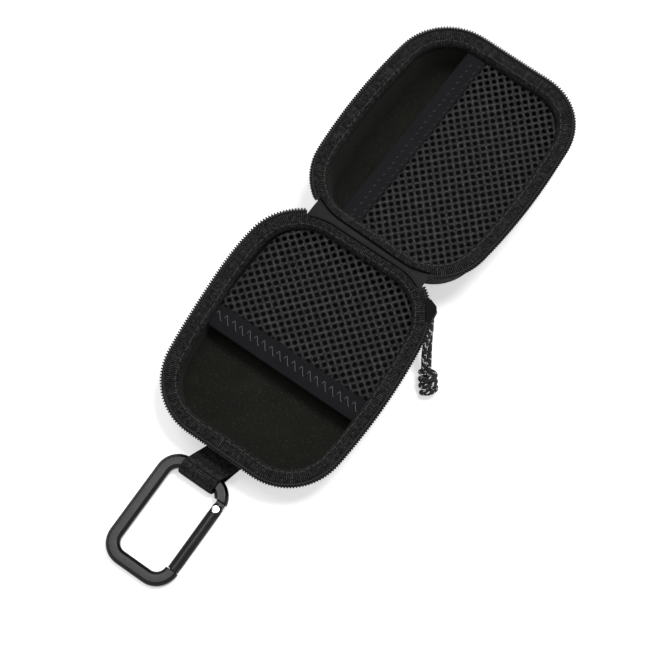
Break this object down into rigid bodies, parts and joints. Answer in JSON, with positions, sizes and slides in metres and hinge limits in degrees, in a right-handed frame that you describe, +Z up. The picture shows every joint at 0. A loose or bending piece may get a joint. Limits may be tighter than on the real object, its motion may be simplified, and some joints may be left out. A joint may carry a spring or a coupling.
{
  "type": "zip-closed moulded case with carabiner",
  "caption": "Small zip-closed moulded case, open flat on its cloth hinge, with a net pocket in each half, a corded zip slider and a carabiner on a webbing loop.",
  "frame": {"origin": "middle of the flat bottom of the deep half", "axes": "+X along the hinge, +Y from the hinge to the deep half's far end, +Z up out of the open case"},
  "size_m": [0.0954, 0.2564, 0.0315],
  "materials": {
    "shell_cloth": "woven cloth laminated on moulded foam",
    "lining_felt": "short felt",
    "binding_tape": "ribbed tape",
    "zip_tape": "flat woven tape",
    "zip_teeth": "satin",
    "pocket_net": "knitted net",
    "pocket_band": "elastic with zigzag stitching",
    "hinge_cloth": "woven cloth",
    "webbing": "ribbed webbing",
    "slider_metal": "black enamel",
    "pull_braid": "black braid with pale flecks",
    "clip_metal": "black anodised",
    "rivet_steel": "bright",
    "spring_steel": "plain"
  },
  "bodies": {
    "base": {"base_shell": "shell_cloth", "base_lining": "lining_felt", "base_binding": "binding_tape", "base_zip_tape": "zip_tape", "base_zip_row": "zip_teeth", "base_pocket_net": "pocket_net", "base_pocket_band": "pocket_band", "hinge_strip": "hinge_cloth"},
    "lid": {"lid_shell": "shell_cloth", "lid_lining": "lining_felt", "lid_binding": "binding_tape", "lid_zip_tape": "zip_tape", "lid_zip_row": "zip_teeth", "lid_pocket_net": "pocket_net", "lid_pocket_band": "pocket_band", "webbing_loop": "webbing"},
    "slider": {"zip_slider": "slider_metal"},
    "pull": {"pull_cord": "pull_braid", "pull_knot": "pull_braid"},
    "carabiner": {"carabiner_frame": "clip_metal", "gate_rivet": "rivet_steel"},
    "gate": {"carabiner_gate": "clip_metal", "gate_spring": "spring_steel", "gate_plunger": "spring_steel"}
  },
  "joints": [
    {"name": "lid_hinge", "type": "hinge", "parent": "base", "child": "lid", "pos_m": [0, -0.0499, 0.032], "axis": [0.9999, 0.014, 0], "range_deg": [-186.98, 0], "deforming": ["hinge_strip"]},
    {"name": "slider_travel", "type": "hinge", "parent": "lid", "child": "slider", "pos_m": [0.01592, -0.0729, 0.02513], "axis": [0.0017, -0.1215, 0.9926], "range_deg": [-18, 10.5]},
    {"name": "pull_swing", "type": "hinge", "parent": "slider", "child": "pull", "pos_m": [0.03603, -0.05681, 0.02394], "axis": [0.7859, 0.6139, 0.0738], "range_deg": [-36, 55]},
    {"name": "carabiner_swing", "type": "hinge", "parent": "lid", "child": "carabiner", "pos_m": [-0.00077, -0.15785, 0.0049], "axis": [0.9996, 0.0279, 0], "range_deg": [-90, 100]},
    {"name": "gate_hinge", "type": "hinge", "parent": "carabiner", "child": "gate", "pos_m": [0.01281, -0.16596, 0.00445], "axis": [0.0015, -0.0533, 0.9986], "range_deg": [-28, 0], "stiffness_Nm_per_rad": 0.01, "springref_deg": 5.73}
  ]
}
